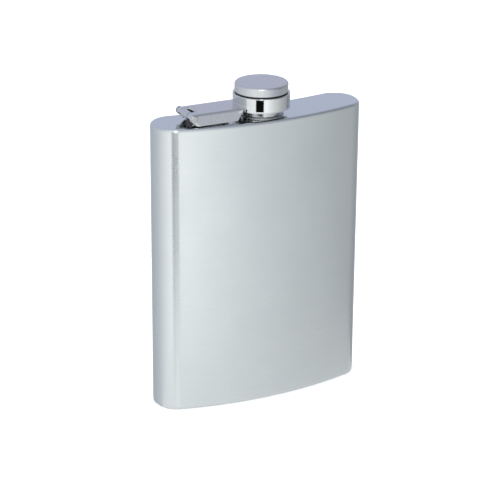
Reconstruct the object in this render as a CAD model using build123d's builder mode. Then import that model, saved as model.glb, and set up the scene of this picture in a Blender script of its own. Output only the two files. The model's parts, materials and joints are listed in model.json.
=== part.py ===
import os
from math import acos, atan, atan2, cos, pi, sin, sqrt

from build123d import *

# Hip flask: a bent steel body closed by two pressed end plates, with a threaded neck and a
# screw cap that a hinged arm keeps on the flask. Sizes are in millimetres. The origin is on
# the base, under the neck's axis. +Z is up, -Y is the bowed front, and the hinge is at -X.

# Body
body_width = 95.0
body_depth = 22.9  # front to back, at the neck's axis
body_height = 124.9
front_bow = 7.55  # how far the front stands out over the full width
back_bow = 5.0  # how far the back curves in over the full width
side_bow = 2.25
front_corner = 9.5
back_corner = 9.8
shell_wall = 0.6
plate_wall = 0.8
plate_skirt = 4.0  # height of a pressed plate, from its butt joint to its face
plate_edge = 1.4
seam_gap = 0.8  # width of the weld that closes the bent shell
seam_bead = 0.4  # how far that weld stands proud inside

# Neck
neck_bore = 6.9  # radius
neck_wall = 0.85
neck_height = 10.3  # from the top plate to the rim
neck_spigot = 0.7  # how far the neck passes below the plate
shoulder_step = 0.85  # how far the shoulder stands out from the thread's root
shoulder_height = 3.0
foot_step = 0.3  # how far the foot stands out from the shoulder
foot_height = 0.45
weld_leg = 0.4

# Thread
thread_pitch = 2.5
thread_turns = 2.0
thread_depth = 0.55
thread_crest = 0.5
thread_base = 1.3
thread_root_bite = 0.15  # how deep a ridge is rooted in its wall
thread_start = 4.1  # from the top plate
thread_clearance = 0.55  # between the crests of the neck and of the cap, so the cap swings off

# Cap
head_wall = 0.65
head_height = 3.7
head_edge = 0.9
core_thread_depth = 0.5
core_wall = 1.15
core_bottom = 3.5  # from the top plate
gasket_thickness = 1.2
rim_gap = 0.05
gasket_side_gap = 0.15
washer_thickness = 0.5
washer_recess = 0.2
washer_gap = 0.1
clip_thickness = 0.8
clip_groove_depth = 0.6
clip_rise = 0.65  # from the core's lower end to the groove
clip_gap = 0.05
clip_mouth = 7.0  # width of the opening in the spring clip

# Cap arm
arm_width = 14.0
arm_wall = 0.8
arm_top = 5.7  # from the top plate
arm_lift = 0.5  # gap between the arm's flanges and the plate
arm_edge = 1.2
arm_rake = 1.3  # from the pin's axis to the lower corner of a flange, towards the collar
arm_flare = 3.5  # radius between the arm and its collar, seen from above
collar_wall = 0.8
collar_bottom = 3.2
collar_top = 9.4
collar_clearance = 0.15
lip_thickness = 0.7
collar_edge = 0.3
flange_gap = 2.2  # between the collar and the lower end of a flange
flange_slant = 2.6

# Hinge
hinge_offset = 34.0  # from the neck's axis
pin_height = 4.0  # of the pin's axis above the top plate
pin_radius = 1.0
pin_gap = 0.05
rivet_radius = 1.6
rivet_height = 0.75
rivet_dome = 0.6
eye_wall = 0.65
leaf_width = 6.0
leaf_thickness = 0.8
leaf_length = 6.5
notch_side_gap = 0.4
notch_reach = 2.8  # from the pin's axis into the arm's web
leaf_weld = 0.4

plate_z = body_height
rim_z = plate_z + neck_height
spigot_radius = neck_bore + neck_wall
shoulder_radius = spigot_radius + shoulder_step
foot_radius = shoulder_radius + foot_step
thread_outer = spigot_radius + thread_depth
cap_thread_inner = thread_outer + thread_clearance
core_bore = cap_thread_inner + core_thread_depth
core_radius = core_bore + core_wall
head_radius = core_radius + head_wall
gasket_z = rim_z + rim_gap
core_roof = gasket_z + gasket_thickness
washer_z = plate_z + collar_top + washer_gap
head_z = washer_z + washer_thickness
head_top = head_z + head_height
clip_z = plate_z + core_bottom + clip_rise
lip_radius = core_radius + collar_clearance
collar_radius = head_radius + collar_wall
collar_bore = collar_radius - collar_wall
hinge_z = plate_z + pin_height
arm_end_radius = arm_top - pin_height
flange_z = plate_z + arm_lift
eye_radius = pin_radius + pin_gap + eye_wall
leaf_x = -hinge_offset + eye_radius - leaf_thickness

os.makedirs("parts", exist_ok=True)


def arc_radius(half_chord, bow):
    """Radius of the arc that rises by bow over this half chord."""
    return (half_chord**2 + bow**2) / (2 * bow)


def meeting_point(centre_a, radius_a, centre_b, radius_b):
    """Where two circles cross, at the point nearer +X."""
    span = centre_b - centre_a
    along = (radius_a**2 - radius_b**2 + span.length**2) / (2 * span.length)
    across = sqrt(radius_a**2 - along**2)
    middle = centre_a + span.normalized() * along
    normal = Vector(-span.Y, span.X).normalized()
    return max(middle + normal * across, middle - normal * across, key=lambda point: point.X)


def reach(centre, target, distance):
    """The point at this distance from centre, on the way to target."""
    return centre + (target - centre).normalized() * distance


# The body seen from above: a bowed front, a hollow back and rounded sides, all tangent arcs.
half_width = body_width / 2
front_radius = arc_radius(half_width, front_bow)
back_radius = arc_radius(half_width, back_bow)
side_half = (body_depth + back_bow - front_bow) / 2
side_radius = arc_radius(side_half, side_bow)
side_y = (front_bow + back_bow) / 2
front_centre = Vector(0, front_radius - body_depth / 2)
back_centre = Vector(0, back_radius + body_depth / 2)
side_centre = Vector(half_width - side_radius, side_y)
front_corner_centre = meeting_point(
    front_centre, front_radius - front_corner, side_centre, side_radius - front_corner
)
back_corner_centre = meeting_point(
    back_centre, back_radius + back_corner, side_centre, side_radius - back_corner
)


def corner_arc(centre, radius, start, end):
    """An arc about centre from start to end, through the point midway between them."""
    middle = reach(centre, (start + end) / 2, radius)
    return ThreePointArc(start, middle, end)


def body_section(inset):
    """The outline of the body, taken in all round by inset."""
    front_end = reach(front_centre, front_corner_centre, front_radius - inset)
    side_front = reach(side_centre, front_corner_centre, side_radius - inset)
    side_back = reach(side_centre, back_corner_centre, side_radius - inset)
    back_end = reach(back_centre, back_corner_centre, back_radius + inset)
    with BuildSketch() as section:
        with BuildLine():
            corner_arc(front_corner_centre, front_corner - inset, front_end, side_front)
            corner_arc(side_centre, side_radius - inset, side_front, side_back)
            corner_arc(back_corner_centre, back_corner - inset, side_back, back_end)
            mirror(about=Plane.YZ)
            ThreePointArc(
                (-front_end.X, front_end.Y), (0, inset - body_depth / 2), (front_end.X, front_end.Y)
            )
            ThreePointArc(
                (-back_end.X, back_end.Y), (0, body_depth / 2 - inset), (back_end.X, back_end.Y)
            )
        make_face()
    return section.sketch


# Body shell: one sheet bent round until its edges meet at the +X side.
with BuildPart() as body_shell:
    with BuildSketch(Plane.XY.offset(plate_skirt)):
        add(body_section(0))
        add(body_section(shell_wall), mode=Mode.SUBTRACT)
        with Locations((half_width, side_y)):
            Rectangle(4 * shell_wall, seam_gap, mode=Mode.SUBTRACT)
    extrude(amount=body_height - 2 * plate_skirt)
body_shell.part.label = "body_shell"
export_step(body_shell.part, "parts/body_shell.step")

# Side seam: the weld that fills the joint between the sheet's edges.
with BuildPart() as side_seam_weld:
    with BuildSketch(Plane.XY.offset(plate_skirt)):
        add(body_section(0))
        add(body_section(shell_wall + seam_bead), mode=Mode.SUBTRACT)
        with Locations((half_width, side_y)):
            Rectangle(4 * (shell_wall + seam_bead), seam_gap, mode=Mode.INTERSECT)
    extrude(amount=body_height - 2 * plate_skirt)
side_seam_weld.part.label = "side_seam_weld"
export_step(side_seam_weld.part, "parts/side_seam_weld.step")

# Base plate: a shallow pressed tray with a rounded edge, butt-welded to the shell.
with BuildPart() as tray_hollow:
    with BuildSketch(Plane.XY.offset(plate_wall)):
        add(body_section(shell_wall))
    extrude(amount=plate_skirt)
    fillet(tray_hollow.faces().sort_by(Axis.Z)[0].edges(), radius=max(plate_edge - plate_wall, 0.2))

with BuildPart() as base_plate:
    with BuildSketch():
        add(body_section(0))
    extrude(amount=plate_skirt)
    fillet(base_plate.faces().sort_by(Axis.Z)[0].edges(), radius=plate_edge)
    add(tray_hollow.part, mode=Mode.SUBTRACT)
base_plate.part.label = "base_plate"
export_step(base_plate.part, "parts/base_plate.step")

# Top plate: the same pressing turned over, with a hole for the neck.
with BuildPart() as top_plate:
    add(base_plate.part)
    mirror(about=Plane.XY.offset(body_height / 2), mode=Mode.REPLACE)
    with Locations((0, 0, plate_z)):
        Hole(radius=spigot_radius, depth=2 * plate_wall)
top_plate.part.label = "top_plate"
export_step(top_plate.part, "parts/top_plate.step")


def thread_ridge(wall_radius, crest_radius, low_z):
    """A helical ridge that stands on a wall and points inwards or outwards."""
    outward = 1 if crest_radius > wall_radius else -1
    root_radius = wall_radius - outward * thread_root_bite
    lead_angle = atan(thread_pitch / (2 * pi * wall_radius))
    start = Plane(
        origin=(wall_radius, 0, low_z),
        x_dir=(1, 0, 0),
        z_dir=(0, cos(lead_angle), sin(lead_angle)),
    )
    with BuildPart() as ridge:
        with BuildLine(Plane.XY.offset(low_z)):
            Helix(pitch=thread_pitch, height=thread_pitch * thread_turns, radius=wall_radius)
        with BuildSketch(start):
            with BuildLine():
                Polyline(
                    (root_radius - wall_radius, -thread_base / 2),
                    (crest_radius - wall_radius, -thread_crest / 2),
                    (crest_radius - wall_radius, thread_crest / 2),
                    (root_radius - wall_radius, thread_base / 2),
                    close=True,
                )
            make_face()
        sweep(is_frenet=True)
    return ridge.part


# Neck: a turned tube with a foot on the plate, a plain shoulder and a thread below the rim.
with BuildPart() as neck:
    with BuildSketch(Plane.XZ):
        with BuildLine():
            Polyline(
                (neck_bore, plate_z - plate_wall - neck_spigot),
                (spigot_radius, plate_z - plate_wall - neck_spigot),
                (spigot_radius, plate_z),
                (foot_radius, plate_z),
                (foot_radius, plate_z + foot_height),
                (shoulder_radius, plate_z + foot_height + foot_step),
                (shoulder_radius, plate_z + shoulder_height),
                (spigot_radius, plate_z + shoulder_height + shoulder_step),
                (spigot_radius, rim_z),
                (neck_bore, rim_z),
                close=True,
            )
        make_face()
    revolve(axis=Axis.Z)
    rim_edges = neck.edges().filter_by(GeomType.CIRCLE).group_by(Axis.Z)[-1]
    fillet(rim_edges, radius=0.4 * neck_wall)
    add(thread_ridge(spigot_radius, thread_outer, plate_z + thread_start))
neck.part.label = "neck"
export_step(neck.part, "parts/neck.step")

# Neck weld: the bead that joins the foot of the neck to the plate.
with BuildPart() as neck_weld:
    with BuildSketch(Plane.XZ):
        with BuildLine():
            Polyline(
                (foot_radius, plate_z + weld_leg),
                (foot_radius, plate_z),
                (foot_radius + weld_leg, plate_z),
            )
            RadiusArc((foot_radius, plate_z + weld_leg), (foot_radius + weld_leg, plate_z), weld_leg)
        make_face()
    revolve(axis=Axis.Z)
neck_weld.part.label = "neck_weld"
export_step(neck_weld.part, "parts/neck_weld.step")

# Cap core: the moulded insert that screws on the neck and carries the steel head.
with BuildPart() as cap_core:
    with BuildSketch(Plane.XZ):
        with BuildLine():
            Polyline(
                (0, core_roof),
                (core_bore, core_roof),
                (core_bore, plate_z + core_bottom),
                (core_radius, plate_z + core_bottom),
                (core_radius, clip_z),
                (core_radius - clip_groove_depth, clip_z),
                (core_radius - clip_groove_depth, clip_z + clip_thickness + 2 * clip_gap),
                (core_radius, clip_z + clip_thickness + 2 * clip_gap),
                (core_radius, head_top - head_wall),
                (0, head_top - head_wall),
                close=True,
            )
        make_face()
    revolve(axis=Axis.Z)
    add(thread_ridge(core_bore, cap_thread_inner, plate_z + thread_start + thread_pitch / 4))
cap_core.part.label = "cap_core"
export_step(cap_core.part, "parts/cap_core.step")

# Cap head: the drawn steel cover over the core.
with BuildPart() as cap_head:
    with BuildSketch(Plane.XY.offset(head_z)):
        Circle(head_radius)
    extrude(amount=head_height)
    fillet(cap_head.faces().sort_by(Axis.Z)[-1].edges(), radius=head_edge)
    with BuildSketch(Plane.XY.offset(head_z)):
        Circle(core_radius)
    extrude(amount=head_height - head_wall, mode=Mode.SUBTRACT)
cap_head.part.label = "cap_head"
export_step(cap_head.part, "parts/cap_head.step")

# Cap gasket: the soft disc that seals on the rim of the neck.
with BuildPart() as cap_gasket:
    with BuildSketch(Plane.XY.offset(gasket_z)):
        Circle(core_bore - gasket_side_gap)
    extrude(amount=gasket_thickness)
cap_gasket.part.label = "cap_gasket"
export_step(cap_gasket.part, "parts/cap_gasket.step")

# Slip washer: lets the head turn on the collar without scraping it.
with BuildPart() as slip_washer:
    with BuildSketch(Plane.XY.offset(washer_z)):
        Circle(head_radius - washer_recess)
        Circle(core_radius, mode=Mode.SUBTRACT)
    extrude(amount=washer_thickness)
slip_washer.part.label = "slip_washer"
export_step(slip_washer.part, "parts/slip_washer.step")

# Retaining clip: a spring ring in the core's groove that stops it leaving the collar.
with BuildPart() as retaining_clip:
    with BuildSketch(Plane.XY.offset(clip_z + clip_gap)):
        Circle(collar_bore - collar_clearance)
        Circle(core_radius - clip_groove_depth + clip_gap, mode=Mode.SUBTRACT)
        with Locations((0, core_radius)):
            Rectangle(clip_mouth, core_radius, mode=Mode.SUBTRACT)
    extrude(amount=clip_thickness)
retaining_clip.part.label = "retaining_clip"
export_step(retaining_clip.part, "parts/retaining_clip.step")


def arm_plan(inset):
    """The arm and its collar seen from above, taken in all round by inset."""
    with BuildSketch() as plan:
        with Locations((-(hinge_offset + arm_end_radius) / 2, 0)):
            Rectangle(hinge_offset + arm_end_radius, arm_width - 2 * inset)
        Circle(collar_radius - inset)
        inner_corners = plan.vertices().group_by(Axis.X)[1]
        fillet(inner_corners, radius=arm_flare + inset)
    return plan.sketch


def arm_side(inset):
    """The arm seen from the side: a bar that is round over the pin and raked below it."""
    end_radius = arm_end_radius - inset
    flange_drop = hinge_z - flange_z
    corner_reach = sqrt(arm_rake**2 + flange_drop**2)
    touch = atan2(-flange_drop, arm_rake) - acos(end_radius / corner_reach)
    with BuildSketch(Plane.XZ) as side:
        with Locations((-hinge_offset, hinge_z)):
            Circle(end_radius)
        with BuildLine():
            Polyline(
                (-hinge_offset, hinge_z + end_radius),
                (-hinge_offset + end_radius * cos(touch), hinge_z + end_radius * sin(touch)),
                (-hinge_offset + arm_rake, flange_z),
                (collar_radius, flange_z),
                (collar_radius, hinge_z + end_radius),
                close=True,
            )
        make_face()
    return side.sketch


# The space inside the arm's channel, open below and at the lower half of the hinge end.
with BuildPart() as arm_hollow:
    with BuildSketch(Plane.XY.offset(plate_z)):
        add(arm_plan(arm_wall))
    extrude(amount=arm_top - arm_wall)
    with BuildSketch(Plane.XZ):
        add(arm_side(arm_wall))
        with Locations((-hinge_offset - arm_top, plate_z)):
            Rectangle(hinge_offset + arm_top + collar_radius, hinge_z - plate_z, align=Align.MIN)
    extrude(amount=arm_width, both=True, mode=Mode.INTERSECT)

# Cap arm: a channel pressed from sheet, ending in a collar round the cap.
with BuildPart() as cap_arm:
    with BuildSketch(Plane.XY.offset(plate_z)):
        add(arm_plan(0))
    extrude(amount=arm_top)
    with BuildSketch(Plane.XZ):
        add(arm_side(0))
    extrude(amount=arm_width, both=True, mode=Mode.INTERSECT)
    top_face = cap_arm.faces().filter_by(Axis.Z).sort_by(Axis.Z)[-1]
    fillet(top_face.edges().filter_by(GeomType.LINE).filter_by(Axis.X), radius=arm_edge)
    add(arm_hollow.part, mode=Mode.SUBTRACT)
    with BuildSketch(Plane.XZ):
        with BuildLine():
            Polyline(
                (-collar_radius - flange_gap, plate_z),
                (-collar_radius - flange_gap, flange_z),
                (-collar_radius - flange_gap + flange_slant, plate_z + arm_top - arm_wall),
                (collar_radius, plate_z + arm_top - arm_wall),
                (collar_radius, plate_z),
                close=True,
            )
        make_face()
    extrude(amount=arm_width, both=True, mode=Mode.SUBTRACT)
    with BuildSketch(Plane.XY.offset(plate_z + collar_bottom)):
        Circle(collar_radius)
    extrude(amount=collar_top - collar_bottom)
    fillet(cap_arm.faces().sort_by(Axis.Z)[-1].edges(), radius=collar_edge)
    with BuildSketch(Plane.XY.offset(plate_z)):
        Circle(collar_bore)
    extrude(amount=collar_top - lip_thickness, mode=Mode.SUBTRACT)
    with BuildSketch(Plane.XY.offset(plate_z)):
        Circle(lip_radius)
    extrude(amount=collar_top, mode=Mode.SUBTRACT)
    with BuildSketch(Plane.XZ):
        with Locations((-hinge_offset, hinge_z)):
            Circle(pin_radius)
    extrude(amount=arm_width, both=True, mode=Mode.SUBTRACT)
    with BuildSketch(Plane.XY.offset(plate_z)):
        with Locations((-hinge_offset + notch_reach, 0)):
            Rectangle(
                notch_reach + 2 * arm_end_radius,
                leaf_width + 2 * notch_side_gap,
                align=(Align.MAX, Align.CENTER),
            )
    extrude(amount=arm_top, mode=Mode.SUBTRACT)
cap_arm.part.label = "cap_arm"
export_step(cap_arm.part, "parts/cap_arm.step")

# Hinge leaf: a strip rolled round the pin, with its foot welded on the top plate.
with BuildPart() as hinge_leaf:
    with BuildSketch(Plane.XZ):
        with Locations((-hinge_offset, hinge_z)):
            Circle(eye_radius)
        with Locations((leaf_x, plate_z)):
            Rectangle(leaf_thickness, pin_height, align=Align.MIN)
            Rectangle(leaf_length, leaf_thickness, align=Align.MIN)
        with Locations((-hinge_offset, hinge_z)):
            Circle(pin_radius + pin_gap, mode=Mode.SUBTRACT)
    extrude(amount=leaf_width / 2, both=True)
hinge_leaf.part.label = "hinge_leaf"
export_step(hinge_leaf.part, "parts/hinge_leaf.step")

# Leaf welds: a bead along each side of the leaf's foot.
with BuildPart() as leaf_welds:
    with BuildSketch(Plane.YZ.offset(leaf_x)):
        with Locations((leaf_width / 2, plate_z)):
            Triangle(a=leaf_weld, b=leaf_weld, C=90, align=Align.MIN)
        mirror(about=Plane.YZ)
    extrude(amount=leaf_length)
leaf_welds.part.label = "leaf_welds"
export_step(leaf_welds.part, "parts/leaf_welds.step")

# Hinge pin: a rivet through the arm's flanges and the leaf's eye, domed at both ends.
with BuildPart() as hinge_pin:
    with BuildSketch(Plane.XZ):
        with Locations((-hinge_offset, hinge_z)):
            Circle(pin_radius)
    extrude(amount=arm_width / 2, both=True)
    for side in (-1, 1):
        head_plane = Plane(
            origin=(-hinge_offset, side * arm_width / 2, hinge_z),
            x_dir=(1, 0, 0),
            z_dir=(0, side, 0),
        )
        with BuildSketch(head_plane):
            Circle(rivet_radius)
        extrude(amount=rivet_height)
        fillet(hinge_pin.faces().sort_by(Axis.Y)[0 if side < 0 else -1].edges(), radius=rivet_dome)
hinge_pin.part.label = "hinge_pin"
export_step(hinge_pin.part, "parts/hinge_pin.step")
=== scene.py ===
import json
import math

import bmesh
import bpy
from mathutils import Matrix, Vector

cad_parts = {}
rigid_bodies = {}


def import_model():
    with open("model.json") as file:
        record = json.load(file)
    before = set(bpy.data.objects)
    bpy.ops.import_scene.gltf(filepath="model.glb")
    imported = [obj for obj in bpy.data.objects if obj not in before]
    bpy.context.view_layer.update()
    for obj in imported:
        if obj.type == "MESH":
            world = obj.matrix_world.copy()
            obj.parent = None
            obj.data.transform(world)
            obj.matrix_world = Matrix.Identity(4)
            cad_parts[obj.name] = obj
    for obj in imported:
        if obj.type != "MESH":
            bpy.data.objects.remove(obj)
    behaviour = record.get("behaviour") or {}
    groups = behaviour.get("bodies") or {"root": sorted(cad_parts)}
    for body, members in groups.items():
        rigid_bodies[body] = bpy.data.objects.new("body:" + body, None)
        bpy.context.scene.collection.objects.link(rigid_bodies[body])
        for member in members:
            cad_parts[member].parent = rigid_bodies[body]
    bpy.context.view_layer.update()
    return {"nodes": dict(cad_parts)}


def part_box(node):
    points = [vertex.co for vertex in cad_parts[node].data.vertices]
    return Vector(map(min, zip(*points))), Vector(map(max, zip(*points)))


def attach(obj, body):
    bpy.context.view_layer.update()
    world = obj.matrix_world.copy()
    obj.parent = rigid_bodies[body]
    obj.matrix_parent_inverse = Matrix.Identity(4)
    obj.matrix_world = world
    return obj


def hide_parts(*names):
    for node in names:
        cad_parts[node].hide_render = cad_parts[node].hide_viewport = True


for leftover in list(bpy.data.objects):
    bpy.data.objects.remove(leftover)

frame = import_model()
mm = 0.001
print("frame loaded:", len(frame["nodes"]), "nodes")


# places that the frame gives
shellLow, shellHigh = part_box("body_shell")
neckLow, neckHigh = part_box("neck")
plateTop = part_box("top_plate")[1].z


def addNode(tree, kind, place=(0, 0), **settings):
    # a setting names a property of the node or, failing that, an input socket
    node = tree.nodes.new(kind)
    node.location = (place[0] * 200, place[1] * 160)
    for key, value in settings.items():
        if key in node.bl_rna.properties:
            setattr(node, key, value)
        else:
            node.inputs[key.replace("_", " ")].default_value = value
    return node


def link(tree, source, target):
    tree.links.new(source, target)


def newTree(name, inputs):
    tree = bpy.data.node_groups.new(name, "GeometryNodeTree")
    tree.interface.new_socket("Geometry", in_out="INPUT", socket_type="NodeSocketGeometry")
    for label, kind in inputs:
        tree.interface.new_socket(label, in_out="INPUT", socket_type="NodeSocket" + kind)
    tree.interface.new_socket("Geometry", in_out="OUTPUT", socket_type="NodeSocketGeometry")
    return tree, tree.nodes.new("NodeGroupInput"), tree.nodes.new("NodeGroupOutput")


def endTree(tree, source, material, outgoing):
    real = addNode(tree, "GeometryNodeRealizeInstances")
    painted = addNode(tree, "GeometryNodeSetMaterial")
    link(tree, source, real.inputs["Geometry"])
    link(tree, real.outputs["Geometry"], painted.inputs["Geometry"])
    link(tree, material, painted.inputs["Material"])
    link(tree, painted.outputs["Geometry"], outgoing.inputs["Geometry"])


def grow(name, carrier, tree, values):
    # run a tree on a carrier object and keep the result as a plain mesh
    modifier = carrier.modifiers.new(tree.name, "NODES")
    modifier.node_group = tree
    for item in tree.interface.items_tree:
        if item.item_type == "SOCKET" and item.in_out == "INPUT" and item.name in values:
            modifier[item.identifier] = values[item.name]
    bpy.context.view_layer.update()
    ready = carrier.evaluated_get(bpy.context.evaluated_depsgraph_get())
    mesh = bpy.data.meshes.new_from_object(ready)
    mesh.name = name
    piece = bpy.data.objects.new(name, mesh)
    bpy.context.scene.collection.objects.link(piece)
    bpy.data.objects.remove(carrier)
    return piece


def polyCurve(name, points, closed=True):
    curve = bpy.data.curves.new(name, "CURVE")
    curve.dimensions = "3D"
    spline = curve.splines.new("POLY")
    spline.points.add(len(points) - 1)
    for splinePoint, point in zip(spline.points, points):
        splinePoint.co = (*point, 1.0)
    spline.use_cyclic_u = closed
    carrier = bpy.data.objects.new(name, curve)
    bpy.context.scene.collection.objects.link(carrier)
    return carrier


def ringPath(radius, count=128):
    angles = [2 * math.pi * step / count for step in range(count)]
    return [Vector((math.cos(angle), math.sin(angle))) * radius for angle in angles]


def finishMesh(piece, hole=None, holeSides=96, sharpTurn=0.6):
    # fill open rims flat, round a hole if there is one, then turn every face outwards;
    # edges that turn by more than sharpTurn radians stay crisp
    work = bmesh.new()
    work.from_mesh(piece.data)
    bmesh.ops.remove_doubles(work, verts=work.verts, dist=0.0002 * mm)
    rims = [edge for edge in work.edges if edge.is_boundary]
    if rims and hole:
        heights = sorted({round(edge.verts[0].co.z, 6) for edge in rims})
        rings = []
        for height in heights:
            ring = [work.verts.new((point.x, point.y, height)) for point in ringPath(hole, holeSides)]
            edges = [work.edges.new((ring[step - 1], ring[step])) for step in range(holeSides)]
            level = [edge for edge in rims if abs(edge.verts[0].co.z - height) < 0.01 * mm]
            bmesh.ops.triangle_fill(work, edges=level + edges, use_beauty=True)
            rings.append(edges)
        bmesh.ops.bridge_loops(work, edges=rings[0] + rings[1])
    elif rims:
        bmesh.ops.triangle_fill(work, edges=rims, use_beauty=True)
    bmesh.ops.recalc_face_normals(work, faces=work.faces)
    for face in work.faces:
        face.smooth = True
    for edge in work.edges:
        if len(edge.link_faces) == 2 and edge.calc_face_angle() > sharpTurn:
            edge.smooth = False
    work.to_mesh(piece.data)
    work.free()


def newMaterial(name):
    material = bpy.data.materials.new(name)
    material.use_nodes = True
    tree = material.node_tree
    return material, tree, tree.nodes["Principled BSDF"]


steelValues = {
    "brushedTone": (0.70, 0.742, 0.75, 1),
    "brushedRoughness": 0.28,
    "brushedStretch": 1.0,
    "roughnessSpread": 0.012,
    "hairlinesAlong": 70.0,
    "hairlinesAcross": 5200.0,
    "hairlineDepth": 0.05,
    "plateRoughness": 0.13,
    "plateStretch": 0.3,
    "polishedTone": (0.69, 0.705, 0.715, 1),
    "polishedRoughness": 0.06,
    # near-black painted shade for the hinge leaf near the plate
    "paintedShadeTone": (0.05, 0.045, 0.04, 1),
}

armValues = {
    "satinLeftOf": -12.5 * mm,
    "satinExtra": 0.20,
    "lean": 0.26,
    "mouth": plateTop + 3.2 * mm,
    "flareHeight": 1.05 * mm,
    "flare": 0.24,
}


def toneRamp(tree, place, low, dark, high, light):
    ramp = addNode(tree, "ShaderNodeValToRGB", place)
    for stop, position, shade in zip(ramp.color_ramp.elements, (low, high), (dark, light)):
        stop.position = position
        stop.color = shade
    return ramp


def dimmed(tone, share):
    return tuple(share * part for part in tone[:3]) + (1,)


def brushedSteel(name):
    # hairlines run round the flask's walls and along its plates
    material, tree, shader = newMaterial(name)
    alongScale, acrossScale = steelValues["hairlinesAlong"], steelValues["hairlinesAcross"]
    where = addNode(tree, "ShaderNodeTexCoord", (-9, 0))
    facing = addNode(tree, "ShaderNodeNewGeometry", (-9, -2))
    parts = addNode(tree, "ShaderNodeSeparateXYZ", (-8, -2))
    flatness = addNode(tree, "ShaderNodeMath", (-7, -2), operation="ABSOLUTE")
    acrossY = addNode(tree, "ShaderNodeMapRange", (-6, -2), clamp=True)
    acrossY.inputs["To Min"].default_value = alongScale
    acrossY.inputs["To Max"].default_value = acrossScale
    stretch = addNode(tree, "ShaderNodeCombineXYZ", (-5, -2), X=alongScale, Z=acrossScale)
    lines = addNode(tree, "ShaderNodeVectorMath", (-4, 0), operation="MULTIPLY")
    link(tree, facing.outputs["Normal"], parts.inputs["Vector"])
    link(tree, parts.outputs["Z"], flatness.inputs[0])
    link(tree, flatness.outputs["Value"], acrossY.inputs["Value"])
    link(tree, acrossY.outputs["Result"], stretch.inputs["Y"])
    link(tree, where.outputs["Object"], lines.inputs[0])
    link(tree, stretch.outputs["Vector"], lines.inputs[1])
    hairlines = addNode(tree, "ShaderNodeTexNoise", (-3, 1), Scale=1.0, Detail=3.0, Roughness=0.7)
    link(tree, lines.outputs["Vector"], hairlines.inputs["Vector"])
    clouds = addNode(tree, "ShaderNodeTexNoise", (-3, -1), Scale=55.0, Detail=3.0, Roughness=0.55)
    link(tree, where.outputs["Object"], clouds.inputs["Vector"])
    base = steelValues["brushedTone"]
    tone = toneRamp(tree, (-1, 1), 0.25, dimmed(base, 0.97), 0.75, dimmed(base, 1.03))
    link(tree, hairlines.outputs["Fac"], tone.inputs["Fac"])
    link(tree, tone.outputs["Color"], shader.inputs["Base Color"])
    rough = addNode(tree, "ShaderNodeMapRange", (-1, -1))
    rough.inputs["From Min"].default_value = 0.3
    rough.inputs["From Max"].default_value = 0.7
    roughness, spread = steelValues["brushedRoughness"], steelValues["roughnessSpread"]
    rough.inputs["To Min"].default_value = roughness - spread
    rough.inputs["To Max"].default_value = roughness + spread
    link(tree, clouds.outputs["Fac"], rough.inputs["Value"])
    # flat faces are polished, walls are brushed
    upward = addNode(tree, "ShaderNodeMapRange", (-6, -4), interpolation_type="SMOOTHSTEP")
    upward.inputs["From Min"].default_value = 0.5
    upward.inputs["From Max"].default_value = 0.95
    gloss = addNode(tree, "ShaderNodeMapRange", (0, -1))
    gloss.inputs["To Max"].default_value = steelValues["plateRoughness"]
    stretched = addNode(tree, "ShaderNodeMapRange", (0, -3))
    stretched.inputs["To Min"].default_value = steelValues["brushedStretch"]
    stretched.inputs["To Max"].default_value = steelValues["plateStretch"]
    link(tree, flatness.outputs["Value"], upward.inputs["Value"])
    link(tree, upward.outputs["Result"], gloss.inputs["Value"])
    link(tree, upward.outputs["Result"], stretched.inputs["Value"])
    link(tree, rough.outputs["Result"], gloss.inputs["To Min"])
    link(tree, gloss.outputs["Result"], shader.inputs["Roughness"])
    link(tree, stretched.outputs["Result"], shader.inputs["Anisotropic"])
    relief = addNode(tree, "ShaderNodeBump", (-1, -3), Strength=steelValues["hairlineDepth"])
    relief.inputs["Distance"].default_value = 0.02 * mm
    link(tree, hairlines.outputs["Fac"], relief.inputs["Height"])
    link(tree, relief.outputs["Normal"], shader.inputs["Normal"])
    across = addNode(tree, "ShaderNodeCombineXYZ", (-1, -5), Y=0.04, Z=1.0)
    link(tree, across.outputs["Vector"], shader.inputs["Tangent"])
    shader.inputs["Metallic"].default_value = 1.0
    return material


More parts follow.
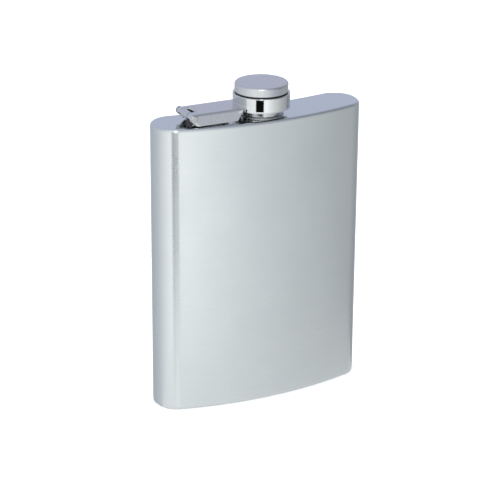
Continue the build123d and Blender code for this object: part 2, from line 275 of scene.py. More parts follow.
def polishedSteel(name, tone=None, roughness=None, waves=0.2, edge=0.2 * mm, lean=0.0, arm=False):
    # bright rolled steel: faint waviness, fine wiping marks and softly broken edges;
    # lean makes upright walls face a little upwards, as pressed walls with a draft do
    material, tree, shader = newMaterial(name)
    tone = tone or steelValues["polishedTone"]
    roughness = roughness or steelValues["polishedRoughness"]
    where = addNode(tree, "ShaderNodeTexCoord", (-6, 0))
    swell = addNode(tree, "ShaderNodeTexNoise", (-4, -2), Scale=260.0, Detail=2.0, Roughness=0.5)
    smears = addNode(tree, "ShaderNodeTexNoise", (-4, 0), Scale=900.0, Detail=4.0, Roughness=0.6)
    link(tree, where.outputs["Object"], swell.inputs["Vector"])
    link(tree, where.outputs["Object"], smears.inputs["Vector"])
    rough = addNode(tree, "ShaderNodeMapRange", (-2, 0))
    rough.inputs["From Min"].default_value = 0.35
    rough.inputs["From Max"].default_value = 0.7
    rough.inputs["To Min"].default_value = 0.8 * roughness
    rough.inputs["To Max"].default_value = 1.4 * roughness
    link(tree, smears.outputs["Fac"], rough.inputs["Value"])
    gloss = rough.outputs["Result"]
    broken = addNode(tree, "ShaderNodeBevel", (-4, -4), Radius=edge)
    leaning = addNode(tree, "ShaderNodeCombineXYZ", (-3, -5), Z=lean)
    if arm:
        # a satin channel with leaning walls, and a bright collar that flares at its mouth
        parts = addNode(tree, "ShaderNodeSeparateXYZ", (-5, 2))
        satin = addNode(tree, "ShaderNodeMapRange", (-4, 2))
        satin.inputs["From Min"].default_value = armValues["satinLeftOf"] - 2 * mm
        satin.inputs["From Max"].default_value = armValues["satinLeftOf"]
        satin.inputs["To Min"].default_value = 1.0
        satin.inputs["To Max"].default_value = 0.0
        mouth = addNode(tree, "ShaderNodeMapRange", (-4, 4))
        mouth.inputs["From Min"].default_value = armValues["mouth"] + 0.35 * mm
        mouth.inputs["From Max"].default_value = armValues["mouth"] + armValues["flareHeight"]
        mouth.inputs["To Min"].default_value = armValues["flare"]
        mouth.inputs["To Max"].default_value = 0.0
        extra = addNode(tree, "ShaderNodeMath", (-1, 1), operation="MULTIPLY_ADD")
        extra.inputs[1].default_value = armValues["satinExtra"]
        tilt = addNode(tree, "ShaderNodeMath", (-3, 4), operation="MULTIPLY")
        tilt.inputs[1].default_value = armValues["lean"]
        most = addNode(tree, "ShaderNodeMath", (-2, 4), operation="MAXIMUM")
        link(tree, where.outputs["Object"], parts.inputs["Vector"])
        link(tree, parts.outputs["X"], satin.inputs["Value"])
        link(tree, parts.outputs["Z"], mouth.inputs["Value"])
        link(tree, satin.outputs["Result"], extra.inputs[0])
        link(tree, gloss, extra.inputs[2])
        link(tree, satin.outputs["Result"], tilt.inputs[0])
        link(tree, tilt.outputs["Value"], most.inputs[0])
        link(tree, mouth.outputs["Result"], most.inputs[1])
        link(tree, most.outputs["Value"], leaning.inputs["Z"])
        gloss = extra.outputs["Value"]
    link(tree, gloss, shader.inputs["Roughness"])
    shade = toneRamp(tree, (-2, 2), 0.3, dimmed(tone, 0.95), 0.7, tone)
    link(tree, smears.outputs["Fac"], shade.inputs["Fac"])
    link(tree, shade.outputs["Color"], shader.inputs["Base Color"])
    own = addNode(tree, "ShaderNodeVectorTransform", (-2, -6), vector_type="VECTOR")
    own.convert_from = "OBJECT"
    own.convert_to = "WORLD"
    tipped = addNode(tree, "ShaderNodeVectorMath", (-2, -4), operation="ADD")
    level = addNode(tree, "ShaderNodeVectorMath", (-1, -4), operation="NORMALIZE")
    relief = addNode(tree, "ShaderNodeBump", (0, -3), Strength=waves)
    relief.inputs["Distance"].default_value = 0.04 * mm
    link(tree, broken.outputs["Normal"], tipped.inputs[0])
    link(tree, leaning.outputs["Vector"], own.inputs["Vector"])
    link(tree, own.outputs["Vector"], tipped.inputs[1])
    link(tree, tipped.outputs["Vector"], level.inputs[0])
    link(tree, level.outputs["Vector"], relief.inputs["Normal"])
    link(tree, swell.outputs["Fac"], relief.inputs["Height"])
    link(tree, relief.outputs["Normal"], shader.inputs["Normal"])
    shader.inputs["Metallic"].default_value = 1.0
    return material


def shadedNearPlate(name, low, high):
    # bright steel with painted shade: dark near the plate, standing in for the shadow under the arm's
    # hinge end
    material = polishedSteel(name)
    tree = material.node_tree
    shader = tree.nodes["Principled BSDF"]
    where = addNode(tree, "ShaderNodeTexCoord", (2, 4))
    parts = addNode(tree, "ShaderNodeSeparateXYZ", (3, 4))
    clear = addNode(tree, "ShaderNodeMapRange", (4, 4), interpolation_type="SMOOTHSTEP")
    clear.inputs["From Min"].default_value = low
    clear.inputs["From Max"].default_value = high
    shadeMix = addNode(tree, "ShaderNodeMix", (5, 4), data_type="RGBA")
    shadeMix.inputs[6].default_value = steelValues["paintedShadeTone"]
    bright = shader.inputs["Base Color"].links[0].from_socket
    link(tree, where.outputs["Object"], parts.inputs["Vector"])
    link(tree, parts.outputs["Z"], clear.inputs["Value"])
    link(tree, clear.outputs["Result"], shadeMix.inputs[0])
    link(tree, bright, shadeMix.inputs[7])
    link(tree, shadeMix.outputs[2], shader.inputs["Base Color"])
    return material


def plainMaterial(name, dark, light, roughness, spread=0.08, grain=2400.0, depth=0.2):
    # moulded plastic and rubber: a fine grain in tone, gloss and relief
    material, tree, shader = newMaterial(name)
    where = addNode(tree, "ShaderNodeTexCoord", (-5, 0))
    speck = addNode(tree, "ShaderNodeTexNoise", (-4, 0), Scale=grain, Detail=4.0, Roughness=0.6)
    link(tree, where.outputs["Object"], speck.inputs["Vector"])
    shade = toneRamp(tree, (-2, 1), 0.0, dark, 1.0, light)
    link(tree, speck.outputs["Fac"], shade.inputs["Fac"])
    link(tree, shade.outputs["Color"], shader.inputs["Base Color"])
    rough = addNode(tree, "ShaderNodeMapRange", (-2, -1))
    rough.inputs["To Min"].default_value = roughness - spread
    rough.inputs["To Max"].default_value = roughness + spread
    link(tree, speck.outputs["Fac"], rough.inputs["Value"])
    link(tree, rough.outputs["Result"], shader.inputs["Roughness"])
    relief = addNode(tree, "ShaderNodeBump", (-1, -2), Strength=depth)
    relief.inputs["Distance"].default_value = 0.03 * mm
    link(tree, speck.outputs["Fac"], relief.inputs["Height"])
    link(tree, relief.outputs["Normal"], shader.inputs["Normal"])
    return material


satinBody = brushedSteel("satinBody")
brightSteel = polishedSteel("brightSteel")
armSteel = polishedSteel("armSteel", edge=0.4 * mm, arm=True)
headSteel = polishedSteel("headSteel", roughness=0.25, waves=0.05, edge=0.3 * mm, lean=0.25)
# the neck's turned steel: its darker tone is also painted shade, the collar's shadow on the neck
shadedTurnedSteel = polishedSteel("shadedTurnedSteel", (0.53, 0.54, 0.545, 1), 0.18, edge=0.1 * mm)
pinSteel = polishedSteel("pinSteel", (0.53, 0.54, 0.56, 1), 0.14)
# the hinge leaf: painted shade makes it dark near the plate, under the arm's end
leafShadedSteel = shadedNearPlate("leafShadedSteel", plateTop + 1.6 * mm, plateTop + 3.4 * mm)
weldSteel = polishedSteel("weldSteel", (0.56, 0.56, 0.57, 1), 0.28, 0.9)
blackInsert = plainMaterial("blackInsert", (0.008, 0.008, 0.009, 1), (0.02, 0.02, 0.022, 1), 0.42)
paleSeal = plainMaterial("paleSeal", (0.50, 0.50, 0.48, 1), (0.60, 0.60, 0.58, 1), 0.55)
print("materials made")


def repaint(node, material):
    piece = frame["nodes"][node]
    piece.data.materials.clear()
    piece.data.materials.append(material)


for node, finish in (
    ("hinge_pin", pinSteel),
    ("hinge_leaf", leafShadedSteel),
    ("retaining_clip", brightSteel),
    ("cap_arm", armSteel),
    ("cap_head", headSteel),
    ("side_seam_weld", weldSteel),
    ("cap_core", blackInsert),
    ("slip_washer", blackInsert),
    ("cap_gasket", paleSeal),
):
    repaint(node, finish)


# the body: one section swept round its outline, and two pressed plates
body = {
    "frontBow": 7.55 * mm,  # over the full width, as in the part
    "backBow": 5.0 * mm,
    "sideBow": 2.25 * mm,
    "fullWidth": 95.0 * mm,
    "depth": 22.9 * mm,
    "frontCorner": 9.5 * mm,
    "backCorner": 9.8 * mm,
    "shellWall": 0.6 * mm,
    "plateWall": 0.8 * mm,
    "plateEdge": 1.4 * mm,
    "plateRim": 3.2 * mm,  # how far in from the outline a plate's face is still swept
    "arcStep": math.radians(1.5),
    "bowSteps": 60,
}

# the neck: a turned tube with a thread wound on it
neck = {
    "bore": 6.9 * mm,
    "pathRadius": 8.0 * mm,  # of the circle that its section is carried round
    "wall": 0.85 * mm,
    "shoulderStep": 0.85 * mm,
    "shoulderHeight": 3.0 * mm,
    "footStep": 0.3 * mm,
    "footHeight": 0.45 * mm,
    "threadPitch": 2.5 * mm,
    "threadTurns": 2.0,
    "threadDepth": 0.55 * mm,
    "threadCrest": 0.5 * mm,
    "threadBase": 1.3 * mm,
    "threadStart": 4.1 * mm,
    "threadRoot": 0.15 * mm,  # how deep a ridge is rooted in the wall
    "threadFade": 0.05,  # share of its length that a ridge takes to grow
}


def circlesMeet(centreA, radiusA, centreB, radiusB):
    span = centreB - centreA
    along = (radiusA**2 - radiusB**2 + span.length_squared) / (2 * span.length)
    across = math.sqrt(radiusA**2 - along**2)
    middle = centreA + span.normalized() * along
    normal = Vector((-span.y, span.x)).normalized()
    return max(middle + normal * across, middle - normal * across, key=lambda point: point.x)


def arcPoints(centre, radius, start, end, smallest=6):
    # points from start towards end about centre, without the last one
    first = math.atan2(start.y - centre.y, start.x - centre.x)
    last = math.atan2(end.y - centre.y, end.x - centre.x)
    turn = (last - first + math.pi) % (2 * math.pi) - math.pi
    steps = max(smallest, math.ceil(abs(turn) / body["arcStep"]))
    angles = [first + turn * index / steps for index in range(steps)]
    return [centre + Vector((math.cos(angle), math.sin(angle))) * radius for angle in angles]


def bodyOutline():
    # tangent arcs: bowed front, rounded corners and sides, hollow back
    half = body["fullWidth"] / 2
    depth = body["depth"]
    frontRadius = (half**2 + body["frontBow"] ** 2) / (2 * body["frontBow"])
    backRadius = (half**2 + body["backBow"] ** 2) / (2 * body["backBow"])
    sideHalf = (depth + body["backBow"] - body["frontBow"]) / 2
    sideRadius = (sideHalf**2 + body["sideBow"] ** 2) / (2 * body["sideBow"])
    front = Vector((0, frontRadius - depth / 2))
    back = Vector((0, backRadius + depth / 2))
    side = Vector((half - sideRadius, (body["frontBow"] + body["backBow"]) / 2))
    frontCorner, backCorner = body["frontCorner"], body["backCorner"]
    nearCorner = circlesMeet(front, frontRadius - frontCorner, side, sideRadius - frontCorner)
    farCorner = circlesMeet(back, backRadius + backCorner, side, sideRadius - backCorner)
    frontEnd = front + (nearCorner - front).normalized() * frontRadius
    sideStart = side + (nearCorner - side).normalized() * sideRadius
    sideEnd = side + (farCorner - side).normalized() * sideRadius
    backStart = back + (farCorner - back).normalized() * backRadius
    right = arcPoints(nearCorner, frontCorner, frontEnd, sideStart)
    right += arcPoints(side, sideRadius, sideStart, sideEnd)
    right += arcPoints(farCorner, backCorner, sideEnd, backStart)
    mirrored = [Vector((-point.x, point.y)) for point in right + [backStart]][::-1]
    steps = body["bowSteps"]
    frontArc = arcPoints(front, frontRadius, Vector((-frontEnd.x, frontEnd.y)), frontEnd, steps)[1:]
    backArc = arcPoints(back, backRadius, backStart, Vector((-backStart.x, backStart.y)), steps)
    return frontArc + right + backArc + mirrored


def roundedProfile(corners, steps=7):
    # (x, z, radius) corners become arcs, with a point just past each arc to keep flats flat
    points = []
    count = len(corners)
    for index, (x, z, radius) in enumerate(corners):
        here = Vector((x, z))
        if radius <= 0:
            points.append(here)
            continue
        before = Vector(corners[index - 1][:2]) - here
        after = Vector(corners[(index + 1) % count][:2]) - here
        halfAngle = before.angle(after) / 2
        reach = radius / math.tan(halfAngle)
        start = here + before.normalized() * reach
        end = here + after.normalized() * reach
        centre = here + (before.normalized() + after.normalized()).normalized() * (
            radius / math.sin(halfAngle)
        )
        first = math.atan2(start.y - centre.y, start.x - centre.x)
        last = math.atan2(end.y - centre.y, end.x - centre.x)
        turn = (last - first + math.pi) % (2 * math.pi) - math.pi
        points.append(start + before.normalized() * 0.12 * radius)
        for step in range(steps + 1):
            angle = first + turn * step / steps
            points.append(centre + Vector((math.cos(angle), math.sin(angle))) * radius)
        points.append(end + after.normalized() * 0.12 * radius)
    return points


def makeSweepTree():
    # a flat section carried round a path in the XY plane; the section's X points outwards
    tree, incoming, outgoing = newTree(
        "sectionRoundPath", [("Section", "Object"), ("Height", "Float"), ("Finish", "Material")]
    )
    upright = addNode(tree, "GeometryNodeSetCurveNormal", (1, 0), mode="Z_UP")
    section = addNode(tree, "GeometryNodeObjectInfo", (1, -2))
    sweep = addNode(tree, "GeometryNodeCurveToMesh", (2, 0))
    lift = addNode(tree, "GeometryNodeTransform", (3, 0))
    height = addNode(tree, "ShaderNodeCombineXYZ", (2, -2))
    smooth = addNode(tree, "GeometryNodeSetShadeSmooth", (4, 0))
    link(tree, incoming.outputs["Geometry"], upright.inputs["Curve"])
    link(tree, incoming.outputs["Section"], section.inputs["Object"])
    link(tree, upright.outputs["Curve"], sweep.inputs["Curve"])
    link(tree, section.outputs["Geometry"], sweep.inputs["Profile Curve"])
    link(tree, sweep.outputs["Mesh"], lift.inputs["Geometry"])
    link(tree, incoming.outputs["Height"], height.inputs["Z"])
    link(tree, height.outputs["Vector"], lift.inputs["Translation"])
    link(tree, lift.outputs["Geometry"], smooth.inputs["Geometry"])
    endTree(tree, smooth.outputs["Geometry"], incoming.outputs["Finish"], outgoing)
    return tree


sweepTree = makeSweepTree()


def sweepPiece(name, path, section, closedSection, height, finish, hole=None):
    # path points run anticlockwise seen from above, so the section's X is outwards and -Y is up
    carrier = polyCurve(name + "Path", [(point.x, point.y, 0) for point in path])
    profile = polyCurve(name + "Section", [(point.x, -point.y, 0) for point in section], closedSection)
    values = {"Section": profile, "Height": height, "Finish": finish}
    piece = grow(name, carrier, sweepTree, values)
    bpy.data.objects.remove(profile)
    finishMesh(piece, hole)
    return piece


def makeBody():
    outline = bodyOutline()
    wall, edge = body["shellWall"], body["plateEdge"]
    low, high = shellLow.z, shellHigh.z
    wallSection = roundedProfile([(0, low, 0), (0, high, 0), (-wall, high, 0), (-wall, low, 0)])
    shell = sweepPiece("satinShell", outline, wallSection, True, 0.0, satinBody)
    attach(shell, "flask")
    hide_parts("body_shell")

    thick = body["plateWall"]
    skirt = plateTop - shellHigh.z
    flat = body["plateRim"]
    tray = [
        (-flat, 0, 0),
        (0, 0, edge),
        (0, skirt, 0),
        (-wall, skirt, 0),
        (-wall, thick, edge - thick),
        (-flat, thick, 0),
    ]
    basePoints = roundedProfile(tray)
    topPoints = [Vector((point.x, -point.y)) for point in basePoints]
    base = sweepPiece("satinBasePlate", outline, basePoints, False, 0.0, satinBody)
    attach(base, "flask")
    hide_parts("base_plate")
    hole = neck["bore"] + neck["wall"]
    top = sweepPiece("satinTopPlate", outline, topPoints, False, plateTop, satinBody, hole)
    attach(top, "flask")
    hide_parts("top_plate")


makeBody()
print("body made")


def makeRidgeTree():
    # a section carried up a helix, dying away into the wall at both ends
    tree, incoming, outgoing = newTree("windThread", [
        ("Section", "Object"), ("Radius", "Float"), ("Pitch", "Float"), ("Turns", "Float"),
        ("Low", "Float"), ("Fade", "Float"), ("Finish", "Material"),
    ])
    rise = addNode(tree, "ShaderNodeMath", (1, -1), operation="MULTIPLY")
    helix = addNode(tree, "GeometryNodeCurveSpiral", (2, 0), Resolution=64)
    upright = addNode(tree, "GeometryNodeSetCurveNormal", (3, 0), mode="Z_UP")
    along = addNode(tree, "GeometryNodeSplineParameter", (1, -3))
    left = addNode(tree, "ShaderNodeMath", (2, -3), operation="SUBTRACT")
    left.inputs[0].default_value = 1.0
    nearest = addNode(tree, "ShaderNodeMath", (3, -3), operation="MINIMUM")
    share = addNode(tree, "ShaderNodeMath", (4, -3), operation="DIVIDE", use_clamp=True)
    grown = addNode(tree, "ShaderNodeMath", (5, -3), operation="SQRT")
    section = addNode(tree, "GeometryNodeObjectInfo", (3, -5))
    wind = addNode(tree, "GeometryNodeCurveToMesh", (6, 0))
    wind.inputs["Fill Caps"].default_value = True
    height = addNode(tree, "ShaderNodeCombineXYZ", (6, -2))
    lift = addNode(tree, "GeometryNodeTransform", (7, 0))
    link(tree, incoming.outputs["Pitch"], rise.inputs[0])
    link(tree, incoming.outputs["Turns"], rise.inputs[1])
    link(tree, incoming.outputs["Turns"], helix.inputs["Rotations"])
    link(tree, incoming.outputs["Radius"], helix.inputs["Start Radius"])
    link(tree, incoming.outputs["Radius"], helix.inputs["End Radius"])
    link(tree, rise.outputs["Value"], helix.inputs["Height"])
    link(tree, helix.outputs["Curve"], upright.inputs["Curve"])
    link(tree, along.outputs["Factor"], left.inputs[1])
    link(tree, along.outputs["Factor"], nearest.inputs[0])
    link(tree, left.outputs["Value"], nearest.inputs[1])
    link(tree, nearest.outputs["Value"], share.inputs[0])
    link(tree, incoming.outputs["Fade"], share.inputs[1])
    link(tree, share.outputs["Value"], grown.inputs[0])
    link(tree, incoming.outputs["Section"], section.inputs["Object"])
    link(tree, upright.outputs["Curve"], wind.inputs["Curve"])
    link(tree, section.outputs["Geometry"], wind.inputs["Profile Curve"])
    link(tree, grown.outputs["Value"], wind.inputs["Scale"])
    link(tree, wind.outputs["Mesh"], lift.inputs["Geometry"])
    link(tree, incoming.outputs["Low"], height.inputs["Z"])
    link(tree, height.outputs["Vector"], lift.inputs["Translation"])
    endTree(tree, lift.outputs["Geometry"], incoming.outputs["Finish"], outgoing)
    return tree


def joinPieces(name, pieces):
    work = bmesh.new()
    for piece in pieces:
        work.from_mesh(piece.data)
    mesh = bpy.data.meshes.new(name)
    work.to_mesh(mesh)
    work.free()
    mesh.materials.append(pieces[0].data.materials[0])
    joined = bpy.data.objects.new(name, mesh)
    bpy.context.scene.collection.objects.link(joined)
    for piece in pieces:
        bpy.data.objects.remove(piece)
    return joined


def makeNeck():
    bore = neck["bore"]
    root = bore + neck["wall"]
    shoulder = root + neck["shoulderStep"]
    foot = shoulder + neck["footStep"]
    bottom, rim = neckLow.z, neckHigh.z
    footTop = plateTop + neck["footHeight"]
    shoulderTop = plateTop + neck["shoulderHeight"]
    corners = [
        (bore, bottom, 0.15 * mm),
        (root, bottom, 0.15 * mm),
        (root, plateTop, 0),
        (foot, plateTop, 0),
        (foot, footTop, 0.12 * mm),
        (shoulder, footTop + neck["footStep"], 0.12 * mm),
        (shoulder, shoulderTop, 0.25 * mm),
        (root, shoulderTop + neck["shoulderStep"], 0.25 * mm),
        (root, rim, 0.34 * mm),
        (bore, rim, 0.34 * mm),
    ]
    ring = neck["pathRadius"]
    section = [point - Vector((ring, 0)) for point in roundedProfile(corners, 5)]
    tube = sweepPiece("neckTube", ringPath(ring), section, True, 0.0, shadedTurnedSteel)
    depth, halfBase, halfCrest = neck["threadDepth"], neck["threadBase"] / 2, neck["threadCrest"] / 2
    ridge = [
        (-neck["threadRoot"], -halfBase, 0),
        (depth, -halfCrest, 0.14 * mm),
        (depth, halfCrest, 0.14 * mm),
        (-neck["threadRoot"], halfBase, 0),
    ]
    outline = [(point.x, -point.y, 0) for point in roundedProfile(ridge, 4)]
    profile = polyCurve("threadSection", outline)
    values = {
        "Section": profile,
        "Radius": root,
        "Pitch": neck["threadPitch"],
        "Turns": neck["threadTurns"],
        "Low": plateTop + neck["threadStart"],
        "Fade": neck["threadFade"],
        "Finish": shadedTurnedSteel,
    }
    carrier = polyCurve("threadCarrier", [(0, 0, 0), (0, 0, mm)])  # the tree makes its own path
    thread = grow("neckThread", carrier, makeRidgeTree(), values)
    bpy.data.objects.remove(profile)
    finishMesh(thread)
    whole = joinPieces("threadedNeck", [tube, thread])
    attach(whole, "flask")
    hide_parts("neck")


makeNeck()
print("neck made")


# weld beads: overlapping ripples laid along a line
weld = {
    "leg": 0.4 * mm,
    "pitch": 0.24 * mm,
    "seed": 7,
    "unevenness": 0.12,
}


def makeRippleTree():
    tree, incoming, outgoing = newTree("layRipples", [
        ("Leg", "Float"), ("Pitch", "Float"), ("Seed", "Int"), ("Unevenness", "Float"),
        ("Finish", "Material"),
    ])
    points = addNode(tree, "GeometryNodeCurveToPoints", (1, 0), mode="LENGTH")
    drop = addNode(tree, "GeometryNodeMeshUVSphere", (1, -2), Segments=14, Rings=8)
    smooth = addNode(tree, "GeometryNodeSetShadeSmooth", (2, -2))
    low = addNode(tree, "ShaderNodeMath", (1, -4), operation="SUBTRACT")
    low.inputs[0].default_value = 1.0
    vary = addNode(tree, "FunctionNodeRandomValue", (2, -4), data_type="FLOAT")
    sizes = addNode(tree, "ShaderNodeVectorMath", (3, -4), operation="SCALE")
    sizes.inputs[0].default_value = (1.0, 1.0, 0.62)
    lay = addNode(tree, "GeometryNodeInstanceOnPoints", (4, 0))
    link(tree, incoming.outputs["Geometry"], points.inputs["Curve"])
    link(tree, incoming.outputs["Pitch"], points.inputs["Length"])
    link(tree, incoming.outputs["Leg"], drop.inputs["Radius"])
    link(tree, drop.outputs["Mesh"], smooth.inputs["Geometry"])
    link(tree, incoming.outputs["Unevenness"], low.inputs[1])
    link(tree, low.outputs["Value"], vary.inputs[2])
    link(tree, incoming.outputs["Seed"], vary.inputs["Seed"])
    link(tree, vary.outputs[1], sizes.inputs["Scale"])
    link(tree, points.outputs["Points"], lay.inputs["Points"])
    link(tree, points.outputs["Rotation"], lay.inputs["Rotation"])
    link(tree, smooth.outputs["Geometry"], lay.inputs["Instance"])
    link(tree, sizes.outputs["Vector"], lay.inputs["Scale"])
    endTree(tree, lay.outputs["Instances"], incoming.outputs["Finish"], outgoing)
    return tree


def makeWelds():
    rippleTree = makeRippleTree()
    values = {
        "Leg": weld["leg"],
        "Pitch": weld["pitch"],
        "Seed": weld["seed"],
        "Unevenness": weld["unevenness"],
        "Finish": weldSteel,
    }
    foot = neck["bore"] + neck["wall"] + neck["shoulderStep"] + neck["footStep"]
    circle = [(point.x, point.y, plateTop) for point in ringPath(foot, 180)]
    bead = grow("neckBead", polyCurve("neckBeadPath", circle), rippleTree, values)
    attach(bead, "flask")
    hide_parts("neck_weld")
    leafLow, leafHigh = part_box("leaf_welds")
    sides = []
    for y in (leafLow.y + weld["leg"], leafHigh.y - weld["leg"]):
        line = [(leafLow.x + weld["leg"], y, plateTop), (leafHigh.x - weld["leg"], y, plateTop)]
        sides.append(grow("leafBeadSide", polyCurve("leafPath", line, False), rippleTree, values))
    beads = joinPieces("leafBeads", sides)
    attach(beads, "flask")
    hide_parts("leaf_welds")


makeWelds()
print("welds made")


# pale floor, soft light and camera; azimuth 0 is straight in front, + to the right
studio = {
    "floorSize": 6.0,
    "floorTone": (0.95, 0.95, 0.95, 1),
    "azimuth": math.radians(-27.37),
    "elevation": math.radians(21.6),
    "distance": 0.8341,
    "roll": math.radians(0.55),
    "lens": 141.2,
    "shiftX": -0.0196,
    "shiftY": 0.0067,
    "boardAzimuth": math.radians(-32.5),
    "boardHalfTurn": math.radians(15.5),
    "boardNear": 0.19,
    "boardFar": 1.0,
    "boardTone": (0.004, 0.004, 0.004, 1),
    "sheetSize": 0.17,
    "sheetTone": (0.93, 0.95, 0.95, 1),
    "sheetFadeFrom": -50 * mm,
    "sheetFadeTo": 70 * mm,
    # painted light: the sheet's glow on its left and on its right
    "sheetLeft": 1.06,
    "sheetRight": 0.76,
    "windowAzimuth": math.radians(-24),
    "windowHalfTurn": math.radians(8),
    "windowLow": math.radians(28),
    "windowHigh": math.radians(62),
    "windowDistance": 1.2,
    "windowGlow": 3.2,
    "overheadHeight": 1.5,
    "overheadSize": 1.6,
    "overheadPower": 30.0,
    "horizonLow": -0.03,  # heights between which the tent turns from round to above
    "horizonHigh": 0.17,
}

# the tent's shade by azimuth in degrees, below the horizon and above it
tentRound = (
    (-180, (0.62, 0.64, 0.67)),
    (-165, (0.52, 0.55, 0.60)),
    (-150, (0.55, 0.58, 0.63)),
    (-108, (0.84, 0.87, 0.89)),
    (-75, (1.05, 1.07, 1.07)),
    (-53, (1.16, 1.18, 1.18)),
    (-5, (1.30, 1.32, 1.32)),
    (18, (0.96, 0.98, 0.98)),
    (30, (0.84, 0.86, 0.86)),
    (60, (0.58, 0.60, 0.61)),
    (106, (0.38, 0.39, 0.41)),
    (145, (0.70, 0.72, 0.74)),
    (180, (0.62, 0.64, 0.67)),
)
tentAbove = (
    (-180, (0.54, 0.57, 0.71)),
    (-110, (0.66, 0.68, 0.75)),
    (-60, (1.00, 1.02, 1.04)),
    (-10, (0.86, 0.88, 0.91)),
    (27, (0.48, 0.505, 0.59)),
    (60, (0.24, 0.25, 0.29)),
    (110, (0.40, 0.42, 0.50)),
    (140, (0.54, 0.57, 0.71)),
)


def aim(position, target, roll=0.0):
    back = (Vector(position) - Vector(target)).normalized()
    return back.to_track_quat("Z", "Y").to_matrix().to_4x4() @ Matrix.Rotation(roll, 4, "Z")


def outward(azimuth, elevation=0.0):
    return Vector((
        math.sin(azimuth) * math.cos(elevation),
        -math.cos(azimuth) * math.cos(elevation),
        math.sin(elevation),
    ))


def makeCamera():
    target = Vector((0, 0, plateTop / 2))
    back = outward(studio["azimuth"], studio["elevation"])
    camera = bpy.data.objects.new("camera", bpy.data.cameras.new("camera"))
    bpy.context.scene.collection.objects.link(camera)
    position = target + back * studio["distance"]
    camera.matrix_world = Matrix.Translation(position) @ aim(position, target, studio["roll"])
    camera.data.lens = studio["lens"]
    camera.data.sensor_width = 36.0
    camera.data.shift_x = studio["shiftX"]
    camera.data.shift_y = studio["shiftY"]
    camera.data.clip_start = 0.01
    bpy.context.scene.camera = camera


def card(name, corners, material):
    mesh = bpy.data.meshes.new(name)
    mesh.from_pydata(corners, [], [tuple(range(len(corners)))])
    mesh.materials.append(material)
    piece = bpy.data.objects.new(name, mesh)
    bpy.context.scene.collection.objects.link(piece)
    return piece


def makeTent():
    world = bpy.data.worlds.new("studioTent")
    bpy.context.scene.world = world
    world.use_nodes = True
    tree = world.node_tree
    background = tree.nodes["Background"]
    where = addNode(tree, "ShaderNodeTexCoord", (-7, 0))
    parts = addNode(tree, "ShaderNodeSeparateXYZ", (-6, 0))
    toFront = addNode(tree, "ShaderNodeMath", (-5, -1), operation="MULTIPLY")
    toFront.inputs[1].default_value = -1.0
    azimuth = addNode(tree, "ShaderNodeMath", (-4, 0), operation="ARCTAN2")
    turn = addNode(tree, "ShaderNodeMapRange", (-3, 0))
    turn.inputs["From Min"].default_value = -math.pi
    turn.inputs["From Max"].default_value = math.pi
    link(tree, where.outputs["Generated"], parts.inputs["Vector"])
    link(tree, parts.outputs["Y"], toFront.inputs[0])
    link(tree, parts.outputs["X"], azimuth.inputs[0])
    link(tree, toFront.outputs["Value"], azimuth.inputs[1])
    link(tree, azimuth.outputs["Value"], turn.inputs["Value"])
    rise = addNode(tree, "ShaderNodeMapRange", (-3, -2), interpolation_type="SMOOTHSTEP")
    rise.inputs["From Min"].default_value = studio["horizonLow"]
    rise.inputs["From Max"].default_value = studio["horizonHigh"]
    link(tree, parts.outputs["Z"], rise.inputs["Value"])
    mixed = addNode(tree, "ShaderNodeMix", (-1, 0), data_type="RGBA")
    link(tree, rise.outputs["Result"], mixed.inputs[0])
    for row, (stops, socket) in enumerate(((tentRound, 6), (tentAbove, 7))):
        shades = addNode(tree, "ShaderNodeValToRGB", (-2, 1 - 2 * row))
        ramp = shades.color_ramp
        ramp.elements.remove(ramp.elements[1])
        for index, (degrees, shade) in enumerate(stops):
            place = (degrees + 180) / 360
            stop = ramp.elements[0] if index == 0 else ramp.elements.new(place)
            stop.position = place
            stop.color = (*shade, 1)
        link(tree, turn.outputs["Result"], shades.inputs["Fac"])
        link(tree, shades.outputs["Color"], mixed.inputs[socket])
    link(tree, mixed.outputs[2], background.inputs["Color"])


def unseen(piece):
    # only mirrored in the metal
    piece.visible_camera = False
    piece.visible_shadow = False
    piece.visible_diffuse = False


def glowingMaterial(name, shade, glow):
    material, tree, shader = newMaterial(name)
    shader.inputs["Base Color"].default_value = (0, 0, 0, 1)
    shader.inputs["Specular IOR Level"].default_value = 0.0
    shader.inputs["Emission Color"].default_value = shade
    shader.inputs["Emission Strength"].default_value = glow
    return material, tree, shader


def mattMaterial(name, shade, roughness):
    material, tree, shader = newMaterial(name)
    shader.inputs["Base Color"].default_value = shade
    shader.inputs["Roughness"].default_value = roughness
    shader.inputs["Specular IOR Level"].default_value = 0.0
    return material


def fanCard(name, material, azimuth, halfTurn, edges):
    # four corners at two (distance, elevation) edges, on both sides of an azimuth
    (near, low), (far, high) = edges
    sides = [azimuth - halfTurn, azimuth + halfTurn]
    lift = Vector((0, 0, 0.5 * mm))
    corners = [
        outward(sides[0], low) * near + lift,
        outward(sides[1], low) * near + lift,
        outward(sides[1], high) * far + lift,
        outward(sides[0], high) * far + lift,
    ]
    return card(name, corners, material)


def makeFloor():
    half = studio["floorSize"] / 2
    corners = [(-half, -half, 0), (half, -half, 0), (half, half, 0), (-half, half, 0)]
    floor = card("floor", corners, mattMaterial("paleFloor", studio["floorTone"], 0.9))
    floor.visible_glossy = False  # the metal mirrors the tent all round instead


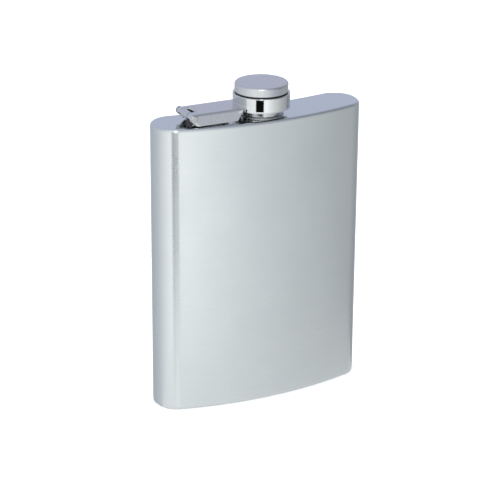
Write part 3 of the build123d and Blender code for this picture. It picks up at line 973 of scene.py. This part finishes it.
def makeBoard():
    # a black board that lies in front and is mirrored in the collar and the near corner
    edges = ((studio["boardNear"], 0.0), (studio["boardFar"], 0.0))
    material = mattMaterial("blackBoard", studio["boardTone"], 1.0)
    unseen(fanCard("board", material, studio["boardAzimuth"], studio["boardHalfTurn"], edges))


def makeSheet():
    # a glowing sheet in front of the flask standing in for lit white card: painted light, brighter on
    # the left and fading to the right
    material, tree, shader = glowingMaterial("glowingSheet", studio["sheetTone"], 1.0)
    where = addNode(tree, "ShaderNodeTexCoord", (-4, 0))
    parts = addNode(tree, "ShaderNodeSeparateXYZ", (-3, 0))
    glow = addNode(tree, "ShaderNodeMapRange", (-2, 0))
    glow.inputs["From Min"].default_value = studio["sheetFadeFrom"]
    glow.inputs["From Max"].default_value = studio["sheetFadeTo"]
    glow.inputs["To Min"].default_value = studio["sheetLeft"]
    glow.inputs["To Max"].default_value = studio["sheetRight"]
    link(tree, where.outputs["Object"], parts.inputs["Vector"])
    link(tree, parts.outputs["X"], glow.inputs["Value"])
    link(tree, glow.outputs["Result"], shader.inputs["Emission Strength"])
    half = studio["sheetSize"] / 2
    lift = 0.2 * mm
    corners = [(-half, -half, lift), (half, -half, lift), (half, 0, lift), (-half, 0, lift)]
    unseen(card("sheet", corners, material))


def makeWindow():
    # a tall bright window high in front of the near corner
    material = glowingMaterial("brightWindow", (1, 1, 1, 1), studio["windowGlow"])[0]
    distance = studio["windowDistance"]
    edges = ((distance, studio["windowLow"]), (distance, studio["windowHigh"]))
    unseen(fanCard("window", material, studio["windowAzimuth"], studio["windowHalfTurn"], edges))


def makeOverhead():
    light = bpy.data.lights.new("overhead", "AREA")
    light.size = studio["overheadSize"]
    light.energy = studio["overheadPower"]
    lamp = bpy.data.objects.new("overhead", light)
    bpy.context.scene.collection.objects.link(lamp)
    place = (0, 0, studio["overheadHeight"])
    lamp.matrix_world = Matrix.Translation(place) @ aim(place, (0, 0, 0))
    lamp.visible_glossy = False


makeTent()
makeFloor()
makeBoard()
makeSheet()
makeWindow()
makeOverhead()
makeCamera()
bpy.context.scene.view_settings.view_transform = "Standard"
print("studio made")
